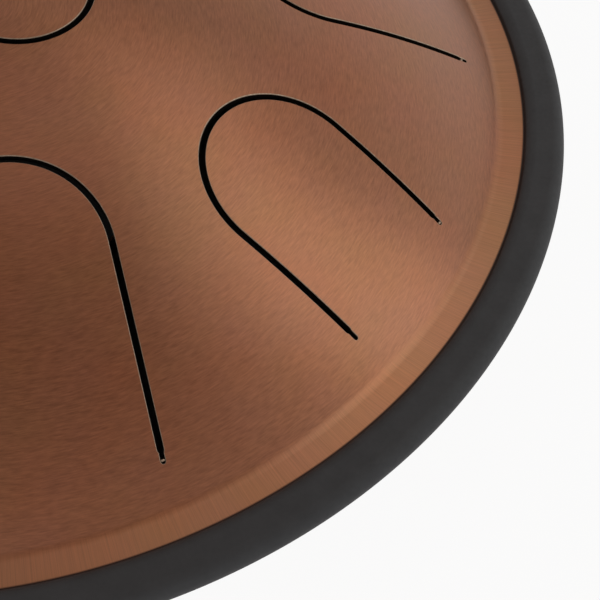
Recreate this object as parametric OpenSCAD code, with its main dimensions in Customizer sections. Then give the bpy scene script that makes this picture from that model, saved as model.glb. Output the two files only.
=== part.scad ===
// Steel tongue drum: two pressed steel domes bonded at their flanges, with a
// rubber ring gripping the seam, nine tongues slit into the top dome, a sound
// port in the bottom dome and four screwed rubber feet.
// Millimetres, +Z up, origin on the drum's axis at the surface it stands on.

/* [Shells] */
// Diameter where the dome meets the top of the flange
dome_d = 320; // [306:1:360]
// Height of the dome above the flange
dome_rise = 54; // [44:1:66]
// Sheet thickness of both shells
sheet_t = 1.5; // [1:0.1:2.2]
// Radius of the hollow side of the bend between dome and flange
bend_r = 5; // [3:0.5:7]
// Width of the flange outside the dome
flange_w = 14; // [12:0.5:20]

/* [Seam] */
// Thickness of the bond between the flanges
bond_t = 0.4; // [0.2:0.1:0.8]
// How far the bond stops short of the flange's edge
bond_setback = 0.6; // [0.2:0.1:2]

/* [Edge ring] */
// How far the ring's lips reach in over the flange
ring_grip = 6.3; // [4:0.1:8]
// Rubber outside the edge of the flange
ring_wall = 5.7; // [5:0.1:9]
// Rubber above and below the flanges
ring_cover = 2.4; // [1.6:0.1:3]
// Rounding of the edges of the ring's lips
lip_round = 1; // [0.4:0.1:1.4]
// Space between the flange's edge and the bottom of the ring's groove
groove_gap = 0.3; // [0.1:0.1:0.8]

/* [Rim tongues] */
// Direction of the shortest tongue, seen from above
first_tongue_angle = -32.2; // [-180:0.1:180]
// Distance from the edge of the dome to the root ends of the slits
root_inset = 10.2; // [8:0.1:14]
// Length of the longest tongue, from root to tip
tongue_l = 92; // [70:0.5:93]
// Width of the widest tongue
tongue_w = 56; // [46:0.5:58]

/* [Centre tongue] */
// Length of the centre tongue, from root to tip
centre_l = 78; // [66:0.5:80]
// Width of the centre tongue
centre_w = 39.2; // [34:0.2:42]
// Distance from the drum's axis to the tip of the centre tongue
centre_tip = 45.3; // [40:0.1:48]

/* [Slits] */
// Width of the slits
slit_w = 1.6; // [1:0.1:2]
// Width of a slit at its very end
slit_end_w = 1.1; // [0.8:0.1:1.4]
// Length of the narrow stretch at the end of a slit
slit_end_l = 2.4; // [1:0.1:6]

/* [Sound port] */
// Diameter of the port
port_d = 84; // [60:1:96]
// Height of the straight part of the turned-in lip
port_lip_h = 4; // [2:0.5:8]
// Radius of the hollow side of the lip's bend
port_bend_r = 2.5; // [1.5:0.5:4]

/* [Feet] */
// Number of feet
foot_count = 4; // [3:1:6]
// Diameter of the circle the feet stand on
foot_circle_d = 156; // [146:1:200]
// Direction of the first foot
foot_angle = 45; // [0:1:90]
// Height of a foot below the shell, at the middle of the foot
foot_h = 15; // [13:0.5:20]
// Diameter of a foot at its sole
foot_d = 23; // [20:0.5:26]
// Slope of a foot's side
foot_taper = 7; // [3:0.5:12]
// Rounding of the edge of the sole
foot_round = 1.5; // [0.8:0.1:2.5]
// Rubber between the washer and the shell
foot_web = 5; // [4:0.5:6]

/* [Foot fasteners] */
// Thread diameter of the screws
screw_d = 5; // [4:0.5:6]
// Length of the screws under the head
screw_l = 16; // [15:1:20]
// Diameter of the screw's head
screw_head_d = 9.5; // [8.5:0.1:9.8]
// Height of the screw's head
screw_head_h = 3.5; // [2.8:0.1:3.8]
// Width of a blade of the cross recess
cross_blade_w = 1.2; // [0.8:0.1:1.6]
// Width of the cross recess
cross_w = 5; // [4:0.1:6]
// Depth of the cross recess
cross_h = 2; // [1.2:0.1:2.4]
// Outer diameter of the washers
washer_d = 10; // [9.9:0.1:12]
// Thickness of the washers
washer_t = 1; // [0.6:0.1:1.4]
// Width of the nut across its flats
nut_w = 8; // [7.5:0.1:9]
// Height of the nut with its flange
nut_h = 5; // [4:0.1:6]
// Diameter of the nut's flange
nut_flange_d = 11.8; // [10.5:0.1:13]
// Thickness of the nut's flange
nut_flange_t = 1.2; // [0.8:0.1:2]
// Clearance round the screw in the washer, the foot and the shell
screw_clearance = 0.25; // [0.15:0.05:0.4]

/* [Hidden] */
// Direction of each rim tongue from the shortest one, in degrees
tongue_turns = [0, 43.3, 88.5, 134, 180, 227, 273.3, 318];
// Length and width of each rim tongue as a share of the longest and widest
length_shares = [0.648, 0.729, 0.89, 0.96, 1, 0.98, 0.93, 0.843];
width_shares = [0.824, 0.824, 0.93, 0.97, 1, 0.99, 0.95, 0.915];
// Clearance of curved or threaded seats
seat_gap = 0.05;
// Clearance of the washer in the foot's recess
recess_gap = 0.3;
// Extra length of a cut past the face it opens
overrun = 1;
$fn = 180;

foot_ids = [for (i = [1 : foot_count]) i];

// A shell's own frame has z = 0 on the mating face of its flange.
dome_radius = (pow(dome_d / 2, 2) + pow(dome_rise, 2)) / (2 * dome_rise);
sphere_z = sheet_t + dome_rise - dome_radius;
flange_r = dome_d / 2 + flange_w;
bend_z = sheet_t + bend_r;
bend_x = sqrt(pow(dome_radius + bend_r, 2) - pow(bend_z - sphere_z, 2));
inner_radius = dome_radius - sheet_t;
lip_bend_x = port_d / 2 + sheet_t + port_bend_r;
lip_bend_z = sphere_z + sqrt(pow(inner_radius - port_bend_r, 2) - pow(lip_bend_x, 2));
root_r = dome_d / 2 - root_inset;

// Heights in the drum's frame
foot_x = foot_circle_d / 2;
shell_drop = sphere_z + sqrt(pow(dome_radius, 2) - pow(foot_x, 2));
seam_z = foot_h + shell_drop + bond_t / 2;
bottom_sphere_z = seam_z - bond_t / 2 - sphere_z;

ring_inner_r = flange_r - ring_grip;
ring_outer_r = flange_r + groove_gap + ring_wall;
ring_half_h = bond_t / 2 + sheet_t + ring_cover;

// The foot screws stand square to the shell, aimed at the middle of each foot.
screw_tilt = atan(foot_x / (bottom_sphere_z - foot_h / 2));
screw_hole_r = screw_d / 2 + screw_clearance;
washer_seat = dome_radius + seat_gap + foot_web;
head_seat = washer_seat + washer_t;
nut_seat = sqrt(pow(inner_radius, 2) - pow(nut_flange_d / 2, 2));

function reach(from, to, length) = from + (to - from) * length / norm(to - from);

// Points where the pieces of a shell's section meet. Neighbours share them.
sphere_centre = [0, sphere_z];
bend_centre = [bend_x, bend_z];
bend_inside = reach(bend_centre, sphere_centre, bend_r + 3 * sheet_t);
lip_centre = [lip_bend_x, lip_bend_z];
lip_outside = reach(sphere_centre, lip_centre, dome_radius + 3 * sheet_t);
above_dome = sheet_t + dome_rise + overrun;

// The stretch of a sheet bent round a centre that lies inside an outline
module bent_sheet(centre, inner, outline) {
    intersection() {
        translate(centre) difference() {
            circle(inner + sheet_t);
            circle(inner);
        }
        polygon(outline);
    }
}

// Half section of the dome, its bend and its flange. The points of start begin the dome.
module shell_section(start) {
    dome_outline = concat([sphere_centre], start, [[bend_x, above_dome], bend_centre, bend_inside]);
    bent_sheet(sphere_centre, inner_radius, dome_outline);
    bent_sheet(bend_centre, bend_r, [bend_centre, bend_inside, [bend_x, -3 * sheet_t]]);
    translate([bend_x, 0]) square([flange_r - bend_x, sheet_t]);
}

// Half section of the lip that turns in round the sound port
module lip_section() {
    port_r = port_d / 2;
    inside_port = port_r - overrun;
    bend_outline = [lip_centre, lip_outside, [inside_port, lip_outside[1]], [inside_port, lip_bend_z]];
    bent_sheet(lip_centre, port_bend_r, bend_outline);
    translate([port_r, lip_bend_z - port_lip_h]) square([sheet_t, port_lip_h]);
}

// A U-shaped slit whose tongue lies along +X, from its tip to its root
module slit(tip, root, width) {
    half = width / 2;
    arc_x = tip + half;
    cut_r = half + slit_w / 2;
    straight_end = root - slit_end_l;
    translate([arc_x, 0]) intersection() {
        difference() {
            circle(cut_r);
            circle(half - slit_w / 2);
        }
        translate([-cut_r - overrun, -cut_r - overrun])
            square([cut_r + overrun, 2 * (cut_r + overrun)]);
    }
    for (side = [-1, 1]) {
        translate([arc_x, side * half - slit_w / 2]) square([straight_end - arc_x, slit_w]);
        translate([straight_end, side * half]) circle(slit_w / 2);
        translate([straight_end, side * half - slit_end_w / 2]) square([slit_end_l, slit_end_w]);
        translate([root, side * half]) circle(slit_end_w / 2);
    }
}

module all_slits() {
    for (i = [0 : len(tongue_turns) - 1]) {
        width = tongue_w * width_shares[i];
        root = sqrt(pow(root_r, 2) - pow(width / 2, 2));
        rotate(first_tongue_angle + tongue_turns[i])
            slit(root_r - tongue_l * length_shares[i], root, width);
    }
    rotate(first_tongue_angle + 180) slit(-centre_tip, centre_l - centre_tip, centre_w);
}

module top_shell() {
    color([0.62, 0.40, 0.28])
        translate([0, 0, seam_z + bond_t / 2]) difference() {
            rotate_extrude() shell_section([[0, above_dome]]);
            linear_extrude(sheet_t + dome_rise + overrun) all_slits();
        }
}

module bottom_shell() {
    color([0.62, 0.40, 0.28])
        difference() {
            translate([0, 0, seam_z - bond_t / 2]) mirror([0, 0, 1]) rotate_extrude() {
                shell_section([lip_centre, lip_outside]);
                lip_section();
            }
            for (i = foot_ids)
                along_screw(i, inner_radius - overrun) cylinder(r = screw_hole_r, h = sheet_t + 2 * overrun);
        }
}

module flange_bond() {
    color([0.20, 0.20, 0.21])
        translate([0, 0, seam_z - bond_t / 2]) rotate_extrude()
            translate([bend_x, 0]) square([flange_r - bond_setback - bend_x, bond_t]);
}

module edge_ring() {
    groove_half_h = bond_t / 2 + sheet_t;
    round_x = ring_outer_r - ring_half_h;
    flat_w = round_x - ring_inner_r - lip_round;
    color([0.21, 0.21, 0.22])
        translate([0, 0, seam_z]) rotate_extrude() difference() {
            union() {
                translate([ring_inner_r, lip_round - ring_half_h])
                    square([lip_round, 2 * (ring_half_h - lip_round)]);
                for (side = [-1, 1])
                    translate([ring_inner_r + lip_round, side * (ring_half_h - lip_round)])
                        circle(lip_round);
                translate([ring_inner_r + lip_round, -ring_half_h]) square([flat_w, 2 * ring_half_h]);
                translate([round_x, 0]) circle(ring_half_h);
            }
            translate([ring_inner_r - overrun, -groove_half_h])
                square([ring_grip + groove_gap + overrun, 2 * groove_half_h]);
        }
}

// Places its children on the screw axis of foot i, at a distance from the middle
// of the bottom dome's sphere, with +Z pointing out of the drum
module along_screw(i, distance) {
    translate([0, 0, bottom_sphere_z])
        rotate([0, 180 - screw_tilt, foot_angle + 360 * (i - 1) / foot_count])
            translate([0, 0, distance]) children();
}

// Half section of a foot before the shell and the recess are cut from it
module foot_section() {
    core_r = foot_d / 2 - foot_round;
    top_z = foot_h + foot_d / 2;
    side_start = [core_r + foot_round * cos(foot_taper), foot_round * (1 - sin(foot_taper))];
    side_end = [side_start[0] + (top_z - side_start[1]) * tan(foot_taper), top_z];
    polygon([[0, 0], [core_r, 0], [core_r, foot_round], side_start, side_end, [0, top_z]]);
    intersection() {
        translate([core_r, foot_round]) circle(foot_round);
        translate([core_r, 0]) square([foot_round, foot_round]);
    }
}

module foot(i) {
    turn = foot_angle + 360 * (i - 1) / foot_count;
    color([0.11, 0.11, 0.115])
        difference() {
            rotate(turn) translate([foot_x, 0, 0]) rotate_extrude() foot_section();
            along_screw(i, 0) cylinder(r = foot_d, h = dome_radius + seat_gap);
            along_screw(i, washer_seat) cylinder(r = washer_d / 2 + recess_gap, h = 2 * foot_h);
            along_screw(i, inner_radius) cylinder(r = screw_hole_r, h = foot_h);
        }
}

module foot_washer(i) {
    color("silver")
        along_screw(i, washer_seat) difference() {
            cylinder(d = washer_d, h = washer_t);
            translate([0, 0, -overrun]) cylinder(r = screw_hole_r, h = washer_t + 2 * overrun);
        }
}

// Pan head with a rounded edge, a cross recess and a plain shank
module foot_screw(i) {
    edge_r = screw_head_h / 2;
    color("silver")
        along_screw(i, head_seat) {
            difference() {
                rotate_extrude() {
                    square([screw_head_d / 2, screw_head_h - edge_r]);
                    square([screw_head_d / 2 - edge_r, screw_head_h]);
                    intersection() {
                        translate([screw_head_d / 2 - edge_r, screw_head_h - edge_r]) circle(edge_r);
                        translate([screw_head_d / 2 - edge_r, screw_head_h - edge_r]) square(edge_r);
                    }
                }
                for (turn = [0, 90])
                    rotate(turn) translate([-cross_w / 2, -cross_blade_w / 2, screw_head_h - cross_h])
                        cube([cross_w, cross_blade_w, cross_h + overrun]);
            }
            translate([0, 0, -screw_l]) cylinder(d = screw_d, h = screw_l);
        }
}

module foot_nut(i) {
    corner_d = nut_w / cos(180 / 6);
    color("silver")
        along_screw(i, nut_seat) difference() {
            union() {
                translate([0, 0, -nut_flange_t]) cylinder(d = nut_flange_d, h = nut_flange_t);
                translate([0, 0, -nut_h]) cylinder(d = corner_d, h = nut_h, $fn = 6);
            }
            translate([0, 0, -nut_h - overrun])
                cylinder(r = screw_d / 2 + seat_gap, h = nut_h + 2 * overrun);
        }
}

top_shell();
bottom_shell();
flange_bond();
edge_ring();
for (i = foot_ids) {
    foot(i);
    foot_washer(i);
    foot_screw(i);
    foot_nut(i);
}
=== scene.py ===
import math

import bpy
import numpy as np
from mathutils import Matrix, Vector
from mathutils.geometry import delaunay_2d_cdt


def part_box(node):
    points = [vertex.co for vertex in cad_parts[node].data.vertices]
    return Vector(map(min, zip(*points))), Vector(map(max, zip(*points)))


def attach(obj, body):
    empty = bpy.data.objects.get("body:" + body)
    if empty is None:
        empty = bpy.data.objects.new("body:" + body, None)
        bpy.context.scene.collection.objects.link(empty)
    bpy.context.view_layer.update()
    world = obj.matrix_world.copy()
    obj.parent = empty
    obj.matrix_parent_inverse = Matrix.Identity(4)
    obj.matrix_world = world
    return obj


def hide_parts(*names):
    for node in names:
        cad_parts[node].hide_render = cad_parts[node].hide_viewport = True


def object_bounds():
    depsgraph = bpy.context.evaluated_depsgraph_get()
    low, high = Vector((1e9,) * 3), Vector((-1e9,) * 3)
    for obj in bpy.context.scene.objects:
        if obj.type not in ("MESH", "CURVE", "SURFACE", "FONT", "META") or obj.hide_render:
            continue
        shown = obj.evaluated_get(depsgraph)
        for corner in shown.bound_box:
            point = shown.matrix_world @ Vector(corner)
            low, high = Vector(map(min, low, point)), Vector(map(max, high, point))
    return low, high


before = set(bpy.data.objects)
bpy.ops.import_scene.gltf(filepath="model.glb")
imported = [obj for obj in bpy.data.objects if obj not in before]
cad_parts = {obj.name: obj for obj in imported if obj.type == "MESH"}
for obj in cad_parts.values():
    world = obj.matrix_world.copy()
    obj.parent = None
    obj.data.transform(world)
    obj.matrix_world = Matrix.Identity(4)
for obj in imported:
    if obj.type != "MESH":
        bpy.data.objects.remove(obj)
cad_lo, cad_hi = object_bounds()

# Sizes in metres, as the solids have them
SHEET_T = 0.0015
DOME_R = 0.160
DOME_RISE = 0.054
BEND_R = 0.005
RING_GRIP = 0.0063
GROOVE_GAP = 0.0003
PORT_R = 0.042
ROOT_INSET = 0.0102
TONGUE_L = 0.092
TONGUE_W = 0.056
CENTRE_L = 0.078
CENTRE_W = 0.0392
CENTRE_TIP = 0.0453
SLIT_W = 0.0016
SLIT_END_W = 0.0011
SLIT_END_L = 0.0024
FIRST_TONGUE_ANGLE = -32.2
TONGUE_TURNS = [0, 43.3, 88.5, 134, 180, 227, 273.3, 318]
LENGTH_SHARES = [0.648, 0.729, 0.89, 0.96, 1, 0.98, 0.93, 0.843]
WIDTH_SHARES = [0.824, 0.824, 0.93, 0.97, 1, 0.99, 0.95, 0.915]

# Places taken from the frame
MATING_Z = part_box("top_shell")[0].z
FLANGE_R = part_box("top_shell")[1].x
RING_LO, RING_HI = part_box("edge_ring")
SEAM_Z = (RING_LO.z + RING_HI.z) / 2
RING_OUTER_R = RING_HI.x
RING_INNER_R = FLANGE_R - RING_GRIP
RING_HALF_H = (RING_HI.z - RING_LO.z) / 2
GROOVE_HALF_H = MATING_Z - SEAM_Z + SHEET_T

# The dome's sphere and its bend, in heights above the mating face
SPHERE_R = (DOME_R**2 + DOME_RISE**2) / (2 * DOME_RISE)
SPHERE_Z = SHEET_T + DOME_RISE - SPHERE_R
INNER_SPHERE_R = SPHERE_R - SHEET_T
BEND_Z = SHEET_T + BEND_R
BEND_X = math.sqrt((SPHERE_R + BEND_R) ** 2 - (BEND_Z - SPHERE_Z) ** 2)
TANGENT_R = BEND_X * SPHERE_R / (SPHERE_R + BEND_R)
INNER_TANGENT_R = BEND_X * INNER_SPHERE_R / (SPHERE_R + BEND_R)
ROOT_R = DOME_R - ROOT_INSET

# How finely the visible skins are divided
RIM_STEPS = 720
BEND_STEPS = 12
RING_OUTSIDE_STEPS = 24
RING_LIP_STEPS = 16
SLIT_SIDE_STEP = 0.002
SLIT_TIP_STEP = math.radians(3)
SLIT_END_STEP = math.radians(15)
SKIN_STEP = 0.0042
SKIN_TO_EDGE = 0.0013
SAME_PLACE = 1e-7

# The rounding of the slits' upper edges
EDGE_ROUND = 0.00024

# Beads left by the cutting near the ends of some slits: rim tongue, side (1 or -1), distance back
BEADS = [
    (0, 1, -0.0001),
    (1, -1, 0.0010),
    (2, 1, 0.0002),
    (3, -1, 0.0006),
    (4, 1, 0.0),
    (5, 1, 0.0004),
    (6, -1, 0.0001),
    (7, 1, 0.0001),
]
BEAD_SIZE = (0.00042, 0.00058, 0.00036)
BEAD_DROP = 0.00034
BEAD_LUMP = 0.12
BEAD_ROUNDS = 14
BEAD_LEVELS = 8

# The dome's brush strokes: the middle of their circles, and how far they stray from them
STROKE_MIDDLE = (0.010, -0.020)
STROKE_WANDER = 0.0005

# How far the lower shell's coloured skin reaches round the port's bend
PORT_BEND_REACH = 0.0042

# The lights: name, azimuth, elevation, width, height, radiance and colour
LIGHTS = [
    ("key", 21, 60, 1.3, 0.6, 0.7, (0.97, 1.03, 1.01)),
    ("side", -2, 33, 0.6, 1.05, 0.76, (0.97, 1.04, 0.99)),
    ("top", 90, 78, 0.6, 0.6, 0.44, (1, 1, 1)),
]
LIGHT_DISTANCE = 1.5

# Material numbers of the top shell's skin
COPPER, CUT_EDGE, SHADED_CUT_WALL, INSIDE = range(4)


def place(x, y, z=0.0):
    return np.array([x, y, z], float)


def add_object(name, data):
    made = bpy.data.objects.new(name, data)
    bpy.context.scene.collection.objects.link(made)
    return made


class Skin:
    """Collects the points, faces, corner normals and material numbers of one mesh."""

    def __init__(self):
        self.points = []
        self.faces = []
        self.normals = []
        self.materials = []

    def add(self, points):
        start = len(self.points)
        self.points.extend(np.asarray(p, float) for p in points)
        return list(range(start, len(self.points)))

    def face(self, corners, normals, material=0):
        a, b, c = (self.points[i] for i in corners[:3])
        if np.dot(np.cross(b - a, c - a), sum(normals)) < 0:
            corners, normals = corners[::-1], normals[::-1]
        self.faces.append(tuple(corners))
        self.normals.extend(normals)
        self.materials.append(material)

    def build(self, name, materials):
        mesh = bpy.data.meshes.new(name)
        mesh.from_pydata([tuple(p) for p in self.points], [], self.faces)
        for m in materials:
            mesh.materials.append(m)
        mesh.polygons.foreach_set("material_index", self.materials)
        mesh.polygons.foreach_set("use_smooth", [True] * len(self.faces))
        mesh.normals_split_custom_set([tuple(n) for n in self.normals])
        mesh.update()
        return add_object(name, mesh)


def revolve(skin, section, steps, first_ring=None, last_ring=None):
    """Revolves a section about the axis. Each part of it is (point, point, normal, normal, material),
    with points and normals as (radius, height). Neighbouring parts share their points."""
    angles = [2 * math.pi * i / steps for i in range(steps)]
    turned = [(math.cos(a), math.sin(a)) for a in angles]

    def ring_of(point):
        r, z = point
        return skin.add([(r * c, r * s, z) for c, s in turned])

    ring = first_ring or ring_of(section[0][0])
    start_ring = ring
    for number, (start, end, n_start, n_end, material) in enumerate(section):
        last = number == len(section) - 1
        closes = last and math.dist(end, section[0][0]) < SAME_PLACE
        following = start_ring if closes else (last_ring if last and last_ring else ring_of(end))
        for i in range(steps):
            j = (i + 1) % steps
            at = [(n_start, turned[i]), (n_start, turned[j]), (n_end, turned[j]), (n_end, turned[i])]
            normals = [place(r * c, r * s, z) for (r, z), (c, s) in at]
            skin.face([ring[i], ring[j], following[j], following[i]], normals, material)
        ring = following


def arc_parts(centre, radius, start, end, steps, sign=1, material=0):
    """Parts of a section along an arc, in radians. The normal points out with sign 1 and in with -1."""
    angles = [start + (end - start) * i / steps for i in range(steps + 1)]
    out = [(math.cos(a), math.sin(a)) for a in angles]
    at = [(centre[0] + radius * c, centre[1] + radius * s) for c, s in out]
    normal = [(sign * c, sign * s) for c, s in out]
    return [(at[i], at[i + 1], normal[i], normal[i + 1], material) for i in range(steps)]


def line_part(start, end, normal, material=0):
    return (start, end, normal, normal, material)


def spread(a, b, step):
    """Evenly spaced values from a up to but without b."""
    count = max(1, round(abs(b - a) / step))
    return [a + (b - a) * i / count for i in range(count)]


def slit_trace(tip, root, width):
    """The outline of a slit whose tongue lies along +X: (x, y, direction out of the slit, half width)."""
    half = width / 2
    arc_x = tip + half
    wide, narrow = SLIT_W / 2, SLIT_END_W / 2
    straight_end = root - SLIT_END_L
    shoulder = math.acos(narrow / wide)
    shoulder_x = straight_end + wide * math.sin(shoulder)
    up, down, up_round_the_tip = math.pi / 2, -math.pi / 2, -3 * math.pi / 2
    trace = []

    def narrow_run(y, direction, going_in):
        xs = spread(shoulder_x, root, SLIT_SIDE_STEP / 4) + [root]
        trace.extend((x, y, direction, narrow) for x in (xs[::-1] if going_in else xs)[1:-1])

    def shoulder_run(y, direction, going_in):
        turn = 1 if direction < 0 else -1
        tilts = [shoulder, shoulder * 2 / 3, shoulder / 3]
        for tilt in tilts if going_in else tilts[::-1]:
            trace.append((straight_end, y, direction + turn * tilt, wide))

    def side(y, direction, going_in):
        xs = spread(arc_x, straight_end, SLIT_SIDE_STEP) + [straight_end]
        if going_in:
            narrow_run(y, direction, True)
            shoulder_run(y, direction, True)
            trace.extend((x, y, direction, wide) for x in xs[:0:-1])
        else:
            trace.extend((x, y, direction, wide) for x in xs[1:])
            shoulder_run(y, direction, False)
            narrow_run(y, direction, False)

    def round_tip(start, end, turn):
        for a in spread(start, end, SLIT_TIP_STEP) + [end]:
            trace.append((arc_x + half * math.cos(a), half * math.sin(a), a + turn, wide))

    def round_end(y):
        trace.extend((root, y, a, narrow) for a in spread(up, down, SLIT_END_STEP) + [down])

    side(-half, down, True)
    round_tip(down, up_round_the_tip, 0.0)
    side(half, up, False)
    round_end(half)
    side(half, down, True)
    round_tip(up_round_the_tip, down, math.pi)
    side(-half, up, False)
    round_end(-half)
    return trace


def turned_trace(trace, degrees):
    """A slit's outline turned about the drum's axis, as arrays of places, directions and half widths."""
    turn = math.radians(degrees)
    x, y, direction, half = np.array(trace).T
    at = np.stack([x * math.cos(turn) - y * math.sin(turn), x * math.sin(turn) + y * math.cos(turn)], 1)
    out = np.stack([np.cos(direction + turn), np.sin(direction + turn)], 1)
    return at, out, half[:, None]


def rim_tongue(number):
    """Direction in degrees, tip, root and width of a rim tongue."""
    width = TONGUE_W * WIDTH_SHARES[number]
    root = math.sqrt(ROOT_R**2 - (width / 2) ** 2)
    tip = ROOT_R - TONGUE_L * LENGTH_SHARES[number]
    return FIRST_TONGUE_ANGLE + TONGUE_TURNS[number], tip, root, width


def all_slits():
    slits = []
    for number in range(len(TONGUE_TURNS)):
        direction, tip, root, width = rim_tongue(number)
        slits.append(turned_trace(slit_trace(tip, root, width), direction))
    trace = slit_trace(-CENTRE_TIP, CENTRE_L - CENTRE_TIP, CENTRE_W)
    slits.append(turned_trace(trace, FIRST_TONGUE_ANGLE + 180))
    return slits


def skin_grid(outlines):
    """A staggered grid of points on the dome's plan, clear of the slits."""
    rows = np.arange(-TANGENT_R, TANGENT_R, SKIN_STEP * math.sqrt(3) / 2)
    points = []
    for number, y in enumerate(rows):
        xs = np.arange(-TANGENT_R, TANGENT_R, SKIN_STEP) + (number % 2) * SKIN_STEP / 2
        points.extend((x, y) for x in xs)
    points = np.array(points)
    points = points[np.hypot(points[:, 0], points[:, 1]) < TANGENT_R - SKIN_TO_EDGE]
    edge = np.concatenate(outlines)
    clear = [np.min(np.sum((edge - p) ** 2, 1)) > SKIN_TO_EDGE**2 for p in points]
    return points[np.array(clear)]


def on_sphere(points, radius):
    """Lifts plan points onto a sphere of the dome and returns them with their normals."""
    r2 = np.sum(points**2, 1)
    z = MATING_Z + SPHERE_Z + np.sqrt(radius**2 - r2)
    lifted = np.column_stack([points, z])
    normals = (lifted - place(0, 0, MATING_Z + SPHERE_Z)) / radius
    return lifted, normals


def add_bead(skin, number, side, back):
    """A lumpy bead of melted steel that bridges a slit near its end."""
    direction, _, root, width = rim_tongue(number)
    turn = math.radians(direction)
    along = place(math.cos(turn), math.sin(turn))
    across = place(-math.sin(turn), math.cos(turn))
    flat = (root - back) * along + side * width / 2 * across
    (centre,), (up,) = on_sphere(np.array([flat[:2]]), SPHERE_R)
    centre = centre - up * BEAD_DROP
    rings = []
    for level in range(1, BEAD_LEVELS):
        tilt = math.pi * level / BEAD_LEVELS
        ring = []
        for i in range(BEAD_ROUNDS):
            a = 2 * math.pi * i / BEAD_ROUNDS
            lump = 1 + BEAD_LUMP * math.sin(3 * a + number) * math.sin(2 * tilt + side)
            unit = np.array([math.sin(tilt) * math.cos(a), math.sin(tilt) * math.sin(a), math.cos(tilt)])
            local = unit * BEAD_SIZE * lump
            slope = unit / BEAD_SIZE
            point = centre + local[0] * along + local[1] * across + local[2] * up
            normal = slope[0] * along + slope[1] * across + slope[2] * up
            ring.append((point, normal / np.linalg.norm(normal)))
        rings.append((skin.add([p for p, _ in ring]), [n for _, n in ring]))
    for (low, low_n), (high, high_n) in zip(rings, rings[1:]):
        for i in range(BEAD_ROUNDS):
            j = (i + 1) % BEAD_ROUNDS
            normals = [low_n[i], low_n[j], high_n[j], high_n[i]]
            skin.face([low[i], low[j], high[j], high[i]], normals, CUT_EDGE)
    for (ring, ring_n), sign in ((rings[0], 1), (rings[-1], -1)):
        (pole,) = skin.add([centre + sign * BEAD_SIZE[2] * up])
        for i in range(BEAD_ROUNDS):
            j = (i + 1) % BEAD_ROUNDS
            skin.face([ring[i], ring[j], pole], [ring_n[i], ring_n[j], sign * up], CUT_EDGE)


def top_shell(materials):
    """The upper dome with its slits, bend and flange, as one closed skin of the sheet's thickness."""
    skin = Skin()
    slits = all_slits()
    outlines = [at + out * (half + EDGE_ROUND) for at, out, half in slits]
    rim_angles = np.arange(RIM_STEPS) * 2 * math.pi / RIM_STEPS
    rim = TANGENT_R * np.stack([np.cos(rim_angles), np.sin(rim_angles)], 1)
    plan = [rim, *outlines, skin_grid(outlines)]
    starts = np.cumsum([0] + [len(p) for p in plan])
    flat = np.concatenate(plan)
    loops = [list(range(a, b)) for a, b in zip(starts[1:-2], starts[2:-1])]
    rim_edges = [(i, (i + 1) % RIM_STEPS) for i in range(RIM_STEPS)]
    slit_faces = [loop[::-1] for loop in loops]
    found = delaunay_2d_cdt([Vector(p) for p in flat], rim_edges, slit_faces, 0, SAME_PLACE, True)
    _, _, triangles, source, _, in_slits = found
    first = [s[0] for s in source]
    triangles = [[first[i] for i in t] for t, in_slit in zip(triangles, in_slits) if not in_slit]

    outer, outer_normals = on_sphere(flat, SPHERE_R)
    inner_flat = flat.copy()
    inner_flat[:RIM_STEPS] *= INNER_TANGENT_R / TANGENT_R
    for loop, (at, out, half) in zip(loops, slits):
        inner_flat[loop] = at + out * half
    inner, inner_normals = on_sphere(inner_flat, INNER_SPHERE_R)
    top = skin.add(outer)
    under = skin.add(inner)
    for t in triangles:
        skin.face([top[i] for i in t], [outer_normals[i] for i in t], COPPER)
        skin.face([under[i] for i in t], [-inner_normals[i] for i in t], INSIDE)

    for loop, (at, out, half) in zip(loops, slits):
        lip, _ = on_sphere(at + out * half, SPHERE_R)
        lip[:, 2] -= EDGE_ROUND
        lips = skin.add(lip)
        walls = np.column_stack([-out, np.zeros(len(out))])
        for i in range(len(loop)):
            j = (i + 1) % len(loop)
            a, b = loop[i], loop[j]
            bevel = [outer_normals[a], outer_normals[b], walls[j], walls[i]]
            skin.face([top[a], top[b], lips[j], lips[i]], bevel, CUT_EDGE)
            wall = [walls[i], walls[j], walls[j], walls[i]]
            skin.face([lips[i], lips[j], under[b], under[a]], wall, SHADED_CUT_WALL)
    for number, side, back in BEADS:
        add_bead(skin, number, side, back)

    bend = (BEND_X, MATING_Z + BEND_Z)
    flange_top = MATING_Z + SHEET_T
    down = -math.pi / 2
    start = math.atan2(SPHERE_Z - BEND_Z, -BEND_X)
    section = arc_parts(bend, BEND_R, start, down, BEND_STEPS, -1, COPPER)
    section.append(line_part((BEND_X, flange_top), (FLANGE_R, flange_top), (0, 1), COPPER))
    section.append(line_part((FLANGE_R, flange_top), (FLANGE_R, MATING_Z), (1, 0), SHADED_CUT_WALL))
    section.append(line_part((FLANGE_R, MATING_Z), (BEND_X, MATING_Z), (0, -1), INSIDE))
    section += arc_parts(bend, BEND_R + SHEET_T, down, start, BEND_STEPS, 1, INSIDE)
    revolve(skin, section, RIM_STEPS, top[:RIM_STEPS], under[:RIM_STEPS])
    return skin.build("top_shell_steel", materials)


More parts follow.
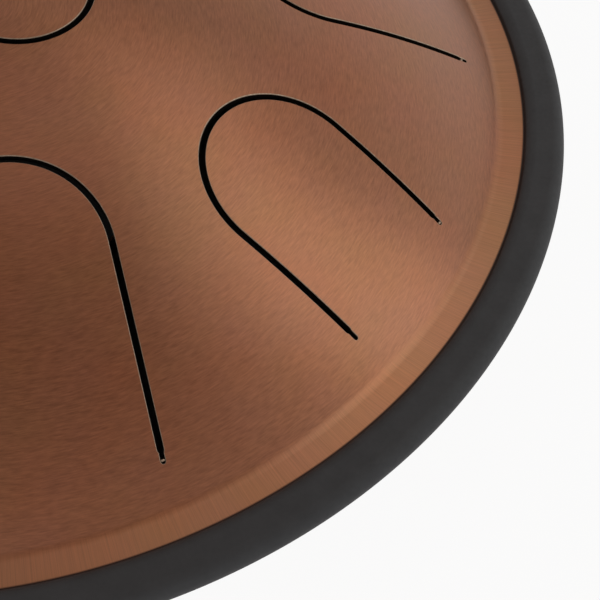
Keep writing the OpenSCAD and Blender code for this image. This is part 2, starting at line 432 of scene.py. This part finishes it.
def edge_ring(material):
    """The rubber ring: two round lips that close on the flanges, a groove and a round outside."""
    groove_r = FLANGE_R + GROOVE_GAP
    round_x = RING_OUTER_R - RING_HALF_H
    lip_x = RING_INNER_R + math.sqrt(RING_HALF_H**2 - GROOVE_HALF_H**2)
    lip_turn = math.asin(GROOVE_HALF_H / RING_HALF_H)
    quarter = math.pi / 2
    top, bottom = SEAM_Z + RING_HALF_H, SEAM_Z - RING_HALF_H
    groove_top, groove_bottom = SEAM_Z + GROOVE_HALF_H, SEAM_Z - GROOVE_HALF_H
    lip, outside = (lip_x, SEAM_Z), (round_x, SEAM_Z)
    section = [line_part((lip_x, bottom), (round_x, bottom), (0, -1))]
    section += arc_parts(outside, RING_HALF_H, -quarter, quarter, RING_OUTSIDE_STEPS)
    section.append(line_part((round_x, top), (lip_x, top), (0, 1)))
    section += arc_parts(lip, RING_HALF_H, quarter, math.pi - lip_turn, RING_LIP_STEPS)
    section.append(line_part((RING_INNER_R, groove_top), (groove_r, groove_top), (0, -1)))
    section.append(line_part((groove_r, groove_top), (groove_r, groove_bottom), (-1, 0)))
    section.append(line_part((groove_r, groove_bottom), (RING_INNER_R, groove_bottom), (0, 1)))
    section += arc_parts(lip, RING_HALF_H, math.pi + lip_turn, 3 * quarter, RING_LIP_STEPS)
    skin = Skin()
    revolve(skin, section, RIM_STEPS)
    return skin.build("edge_ring_rubber", [material])


class Nodes:
    """A node tree and short calls that add nodes to it."""

    def __init__(self, tree):
        self.tree = tree

    def node(self, kind, **settings):
        made = self.tree.nodes.new(kind)
        for key, value in settings.items():
            setattr(made, key, value)
        return made

    def link(self, source, target):
        self.tree.links.new(source, target)

    def feed(self, made, inputs, values):
        """Gives a node numbers, colours or other nodes' outputs. Returns the node."""
        for name, value in zip(inputs, values):
            if isinstance(value, (int, float)):
                made.inputs[name].default_value = value
            elif isinstance(value, tuple):
                made.inputs[name].default_value = (*value, 1)
            else:
                self.link(value, made.inputs[name])
        return made

    def maths(self, operation, *values):
        made = self.node("ShaderNodeMath", operation=operation)
        return self.feed(made, range(len(values)), values).outputs[0]

    def length(self, a, b):
        """The length of a line that goes by a and b along two axes."""
        squares = [self.maths("MULTIPLY", v, v) for v in (a, b)]
        return self.maths("SQRT", self.maths("ADD", *squares))

    def noise(self, vector, scale, detail=2.0, roughness=0.5):
        inputs = ("Vector", "Scale", "Detail", "Roughness")
        made = self.node("ShaderNodeTexNoise")
        return self.feed(made, inputs, (vector, scale, detail, roughness)).outputs["Fac"]

    def combine(self, x, y, z):
        return self.feed(self.node("ShaderNodeCombineXYZ"), range(3), (x, y, z)).outputs[0]

    def ramp(self, value, low, high, to_low=0.0, to_high=1.0, smooth=True):
        """A value from low to high, turned into one from to_low to to_high and held at its ends."""
        inputs = ("Value", "From Min", "From Max", "To Min", "To Max")
        made = self.node("ShaderNodeMapRange", interpolation_type="SMOOTHSTEP" if smooth else "LINEAR")
        return self.feed(made, inputs, (value, low, high, to_low, to_high)).outputs["Result"]

    def spread_of(self, noise, middle, amount):
        """A noise, which lies mostly from 0.25 to 0.75, turned into middle plus or minus amount."""
        return self.ramp(noise, 0.2, 0.8, middle - 1.2 * amount, middle + 1.2 * amount, smooth=False)

    def between(self, factor, a, b):
        """A number that goes from a to b as the factor goes from 0 to 1."""
        made = self.node("ShaderNodeMix", data_type="FLOAT")
        return self.feed(made, (0, 2, 3), (factor, a, b)).outputs[0]

    def mix(self, factor, a, b, blend="MIX"):
        """A colour that goes from a to b, or to a times b, as the factor goes from 0 to 1."""
        made = self.node("ShaderNodeMix", data_type="RGBA", blend_type=blend)
        return self.feed(made, (0, 6, 7), (factor, a, b)).outputs[2]

    def clouded(self, noise, a, b):
        """A colour that a noise takes back and forth between a and b."""
        return self.mix(self.spread_of(noise, 0.5, 0.5), a, b)

    def object_place(self):
        return self.node("ShaderNodeTexCoord").outputs["Object"]

    def split(self, vector):
        return self.feed(self.node("ShaderNodeSeparateXYZ"), [0], [vector]).outputs[:3]

    def split_place(self):
        """The place's three coordinates and its distance from the axis."""
        x, y, z = self.split(self.object_place())
        return x, y, z, self.length(x, y)


class Finish(Nodes):
    """A material, its nodes and its shader."""

    def __init__(self, name):
        self.material = bpy.data.materials.new(name)
        self.material.use_nodes = True
        super().__init__(self.material.node_tree)
        self.shader = self.tree.nodes["Principled BSDF"]

    def set(self, **sockets):
        for name, value in sockets.items():
            self.shader.inputs[name.replace("_", " ")].default_value = value

    def wire(self, **sockets):
        for name, source in sockets.items():
            self.link(source, self.shader.inputs[name.replace("_", " ")])

    def bump(self, height, strength, depth):
        made = self.node("ShaderNodeBump")
        self.feed(made, ("Height", "Strength", "Distance"), (height, strength, depth))
        self.wire(Normal=made.outputs["Normal"])

    def surface(self, colour, grain, roughness, amount, strength, depth):
        """The shader's colour, and a grain that changes its roughness by amount and raises it a little."""
        self.wire(Base_Color=colour, Roughness=self.spread_of(grain, roughness, amount))
        self.bump(grain, strength, depth)
        return self.material


def stroke_noise(n, x, y, r, side_rate, r_rate):
    """Noise drawn out into strokes: it changes at one rate with x and y, and at another with r."""
    sides = [n.maths("MULTIPLY", v, side_rate) for v in (x, y)]
    drawn = n.combine(*sides, n.maths("MULTIPLY", r, r_rate))
    return n.noise(drawn, scale=1.0, detail=2.0, roughness=0.6)


def dome_strokes(n, x, y):
    """Short brush strokes in circles a little off the axis, slightly bent here and there."""
    broad_share = 0.05
    off_middle = [n.maths("SUBTRACT", v, middle) for v, middle in zip((x, y), STROKE_MIDDLE)]
    wander = n.maths("MULTIPLY", n.noise(n.object_place(), scale=70.0, detail=1.0), STROKE_WANDER)
    bent_r = n.maths("ADD", n.length(*off_middle), wander)
    fine = stroke_noise(n, x, y, bent_r, side_rate=320.0, r_rate=3000.0)
    broad = stroke_noise(n, x, y, bent_r, side_rate=140.0, r_rate=900.0)
    return n.between(broad_share, fine, broad)


def flange_strokes(n, x, y, r):
    """Long fine brush strokes away from the axis."""
    least_r = 0.0005
    never_zero = n.maths("MAXIMUM", r, least_r)
    unit_x, unit_y = (n.maths("DIVIDE", v, never_zero) for v in (x, y))
    return stroke_noise(n, unit_x, unit_y, r, side_rate=520.0, r_rate=60.0)


def copper_tone(n):
    """The cloudy colour of the steel's copper-coloured skin."""
    redder, browner, rosier = (0.392, 0.140, 0.067), (0.342, 0.159, 0.072), (0.365, 0.147, 0.086)
    cloud = n.noise(n.object_place(), scale=24.0, detail=3.0, roughness=0.55)
    tint = n.noise(n.object_place(), scale=60.0)
    rosy_share = n.spread_of(tint, middle=0.3, amount=0.3)
    return n.mix(rosy_share, n.clouded(cloud, redder, browner), rosier)


def copper_material(name, sphere_z=None):
    """Satin copper-coloured steel, brushed in circles on the dome and away from the axis on the flange.
    The flange's colour is painted lighter and more golden as a painted highlight, and a dark line of
    painted contact shadow lies on it where it meets the rubber ring. With sphere_z, the height of the
    dome's centre, the side that faces the chamber is bare steel darkened to near black as painted shade."""
    flange_sheen_tint, contact_shade, bare_in_shade = (1.0, 1.15, 1.18), (0.022, 0.008, 0.005), (0.075, 0.072, 0.070)
    flange_from, flange_to = TANGENT_R - 0.0004, BEND_X - 0.0006
    contact_shade_from, contact_shade_to = RING_INNER_R - 0.0007, RING_INNER_R - 0.0001
    n = Finish(name)
    x, y, z, r = n.split_place()
    on_flange = n.ramp(r, flange_from, flange_to)
    round_marks, long_marks = dome_strokes(n, x, y), flange_strokes(n, x, y, r)
    dome_light = n.spread_of(round_marks, middle=1.02, amount=0.24)
    # The strokes are real marks, but the flange's middle of 1.52 against the dome's 1.02 is a painted
    # highlight: a lighter copy of the copper for the brighter light the flange catches.
    flange_marks_and_sheen = n.spread_of(long_marks, middle=1.52, amount=0.26)
    dome_matt = n.spread_of(round_marks, middle=0.345, amount=0.05)
    flange_matt = n.spread_of(long_marks, middle=0.45, amount=0.08)
    light = n.between(on_flange, dome_light, flange_marks_and_sheen)
    matt = n.between(on_flange, dome_matt, flange_matt)
    colour = n.mix(1.0, copper_tone(n), n.combine(light, light, light), "MULTIPLY")
    # Painted highlight: the flange's colour is tinted lighter and more golden than the dome's.
    colour = n.mix(on_flange, colour, n.mix(1.0, colour, flange_sheen_tint, "MULTIPLY"))
    # Painted contact shadow: a near-black reddish line on the flange where it meets the rubber ring.
    colour = n.mix(n.ramp(r, contact_shade_from, contact_shade_to), colour, contact_shade)
    # Painted shade: the lower shell's chamber side is bare steel made near black, for the shade inside the
    # drum.
    if sphere_z is not None:
        height = n.maths("SUBTRACT", z, sphere_z)
        depth = n.maths("SUBTRACT", SPHERE_R, n.length(height, r))
        from_bore = n.maths("SUBTRACT", r, PORT_R)
        outside = n.maths("LESS_THAN", n.maths("MINIMUM", depth, from_bore), SHEET_T / 2)
        on_bend = n.maths("LESS_THAN", n.maths("ADD", depth, from_bore), PORT_BEND_REACH)
        colour = n.mix(n.maths("MAXIMUM", outside, on_bend), bare_in_shade, colour)
    tangent = n.node("ShaderNodeTangent", direction_type="RADIAL", axis="Z")
    n.wire(Base_Color=colour, Roughness=matt, Tangent=tangent.outputs[0])
    n.set(Metallic=1.0, Coat_Weight=0.55, Coat_Roughness=0.32, Anisotropic=0.8, Anisotropic_Rotation=0.25)
    n.bump(n.between(on_flange, round_marks, long_marks), strength=0.05, depth=0.00008)
    return n.material


def bare_steel(name, light, dark, roughness):
    """Cut or bare steel, where the coloured skin is gone. The near-black colours given for the slit walls
    and the shells' inside are painted shade.
    """
    n = Finish(name)
    n.set(Metallic=1.0)
    grain = n.noise(n.object_place(), scale=1500.0)
    colour = n.clouded(grain, light, dark)
    return n.surface(colour, grain, roughness, amount=0.08, strength=0.15, depth=0.00005)


def moulded_rubber(name, colour, grain_scale, roughness, shade_r=None):
    """Matt rubber with a fine grain and slight clouding, with a painted contact shadow that makes it near
    black within the given distance of the axis.
    """
    paler, contact_shade, contact_shade_fade = tuple(c * 1.3 for c in colour), (0.010, 0.004, 0.003), 0.0005
    n = Finish(name)
    n.set(Metallic=0.0, Specular_IOR_Level=0.4)
    grain = n.noise(n.object_place(), grain_scale, detail=3.0, roughness=0.6)
    cloud = n.noise(n.object_place(), scale=140.0, detail=3.0, roughness=0.6)
    rubber = n.clouded(cloud, colour, paler)
    # Painted contact shadow: the rubber goes near black at its inner lip, where the ring meets the flange.
    if shade_r is not None:
        out_of_shade = n.ramp(n.split_place()[3], shade_r - contact_shade_fade, shade_r)
        rubber = n.mix(out_of_shade, contact_shade, rubber)
    return n.surface(rubber, grain, roughness, amount=0.08, strength=0.25, depth=0.00006)


def plated_steel(name, colour, roughness):
    """Zinc plated steel with fine turning marks and faint blotches."""
    duller = tuple(c * 0.82 for c in colour)
    n = Finish(name)
    n.set(Metallic=1.0)
    blotch = n.noise(n.object_place(), scale=260.0, detail=3.0, roughness=0.6)
    grain = n.noise(n.object_place(), scale=2400.0)
    blotched = n.clouded(blotch, colour, duller)
    return n.surface(blotched, grain, roughness, amount=0.07, strength=0.12, depth=0.00004)


def cured_bond(name):
    """The thin dark bead of adhesive between the flanges."""
    dark, paler = (0.035, 0.035, 0.037), (0.05, 0.049, 0.048)
    n = Finish(name)
    grain = n.noise(n.object_place(), scale=700.0, detail=3.0)
    colour = n.clouded(grain, dark, paler)
    return n.surface(colour, grain, roughness=0.55, amount=0.08, strength=0.3, depth=0.0001)


def wear(node, material):
    """Gives a CAD node its material."""
    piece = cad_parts[node]
    piece.data.materials.clear()
    piece.data.materials.append(material)


def make_floor():
    """A pale floor, nearly white to the camera, paler in reflections too, with a painted shadow: dark
    paper under the drum.
    """
    floor_half = 6.0
    camera_share, glossy_share = 0.93, 0.6
    floor_shadow_from, floor_shadow_to = 0.065, 0.105
    painted_floor_shadow, open_paper, glow_colour = (0.06, 0.06, 0.06), (0.9, 0.9, 0.9), (1, 1, 1)
    mesh = bpy.data.meshes.new("floor")
    corners = [(x * floor_half, y * floor_half, cad_lo.z) for x, y in ((-1, -1), (1, -1), (1, 1), (-1, 1))]
    mesh.from_pydata(corners, [], [(0, 1, 2, 3)])
    floor = add_object("floor", mesh)
    n = Finish("floor_paper")
    n.set(Roughness=0.9, Specular_IOR_Level=0.1)
    path = n.node("ShaderNodeLightPath")
    in_view = n.maths("MULTIPLY", path.outputs["Is Camera Ray"], camera_share)
    in_gloss = n.maths("MULTIPLY", path.outputs["Is Glossy Ray"], glossy_share)
    clear_of_floor_shadow = n.ramp(n.split_place()[3], floor_shadow_from, floor_shadow_to)
    # Painted shadow: the floor's colour goes dark under the drum.
    n.wire(Base_Color=n.mix(clear_of_floor_shadow, painted_floor_shadow, open_paper))
    glow = n.feed(n.node("ShaderNodeEmission"), ["Color"], [glow_colour])
    share = n.maths("MULTIPLY", n.maths("MAXIMUM", in_view, in_gloss), clear_of_floor_shadow)
    paper = n.feed(n.node("ShaderNodeMixShader"), range(3), (share, n.shader.outputs[0], glow.outputs[0]))
    n.link(paper.outputs[0], n.tree.nodes["Material Output"].inputs["Surface"])
    mesh.materials.append(n.material)


def make_world():
    """White to the camera. To the drum it is a pale backdrop under a dim, warm ceiling."""
    white, backdrop, ceiling = (0.965, 0.965, 0.965), (0.8, 0.8, 0.8), (0.25, 0.186, 0.152)
    fade_from, fade_to = 0.2, 0.93
    world = bpy.data.worlds.new("studio")
    bpy.context.scene.world = world
    world.use_nodes = True
    n = Nodes(world.node_tree)
    steepness = n.split(n.node("ShaderNodeTexCoord").outputs["Generated"])[2]
    room = n.mix(n.ramp(steepness, fade_from, fade_to), backdrop, ceiling)
    in_view = n.node("ShaderNodeLightPath").outputs["Is Camera Ray"]
    n.link(n.mix(in_view, room, white), n.tree.nodes["Background"].inputs["Color"])


def soft_light(name, azimuth, elevation, width, height, radiance, colour):
    """A soft box that faces the drum. Azimuth 0 is +X and 90 is +Y; radiance 1 shows as white."""
    light = bpy.data.lights.new(name, "AREA")
    light.shape = "RECTANGLE"
    light.size = width
    light.size_y = height
    light.color = colour
    light.energy = radiance * math.pi * width * height
    a, e = math.radians(azimuth), math.radians(elevation)
    away = Vector((math.cos(a) * math.cos(e), math.sin(a) * math.cos(e), math.sin(e)))
    lamp = add_object(name, light)
    lamp.location = Vector((0, 0, SEAM_Z)) + away * LIGHT_DISTANCE
    lamp.rotation_mode = "QUATERNION"
    lamp.rotation_quaternion = away.to_track_quat("Z", "Y")


def make_camera():
    """The photograph's view, fitted to the ring's ellipses and the slits."""
    sensor_mm, lens_mm, tilt = 36.0, 74.79, math.radians(36.02)
    away_in_ring_radii = Vector((0.5466, -1.5711, 1.5514))
    data = bpy.data.cameras.new("camera")
    data.sensor_width = sensor_mm
    data.lens = lens_mm
    camera = add_object("camera", data)
    camera.location = Vector((0, 0, SEAM_Z)) + away_in_ring_radii * RING_OUTER_R
    camera.rotation_euler = (tilt, 0, 0)
    bpy.context.scene.camera = camera


make_camera()
bpy.context.scene.view_settings.view_transform = "Standard"
make_world()
make_floor()
for light in LIGHTS:
    soft_light(*light)

lower_sphere_z = 2 * SEAM_Z - MATING_Z - SPHERE_Z
# How far out from the axis the ring's painted contact shadow reaches.
ring_shade_r = RING_INNER_R + 0.0008
upper_copper = copper_material("upper_copper")
lower_copper = copper_material("lower_copper", lower_sphere_z)
cut_edge = bare_steel("cut_edge", light=(0.50, 0.38, 0.29), dark=(0.34, 0.25, 0.18), roughness=0.42)
# Painted shade: the slit walls are near black, for the shadow inside the narrow slits.
shaded_cut_wall = bare_steel("shaded_cut_wall", light=(0.040, 0.030, 0.026), dark=(0.018, 0.013, 0.011), roughness=0.6)
# Bare steel inside the shells, darkened to near black as painted shade of the closed chamber.
shaded_inside_steel = bare_steel(
    "shaded_inside_steel", light=(0.085, 0.082, 0.080), dark=(0.060, 0.058, 0.056), roughness=0.6
)
ring_rubber = moulded_rubber(
    "ring_rubber", (0.031, 0.032, 0.0348), grain_scale=900.0, roughness=0.6, shade_r=ring_shade_r
)
foot_rubber = moulded_rubber("foot_rubber", (0.012, 0.012, 0.0125), grain_scale=1100.0, roughness=0.55)
zinc = plated_steel("zinc", (0.60, 0.61, 0.63), roughness=0.3)

shell = top_shell([upper_copper, cut_edge, shaded_cut_wall, shaded_inside_steel])
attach(shell, "root")
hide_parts("top_shell")

ring = edge_ring(ring_rubber)
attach(ring, "root")
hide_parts("edge_ring")

wear("bottom_shell", lower_copper)
wear("flange_bond", cured_bond("cured_bond"))
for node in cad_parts:
    if node.startswith(("foot_washer", "foot_screw", "foot_nut")):
        wear(node, zinc)
    elif node.startswith("foot_"):
        wear(node, foot_rubber)
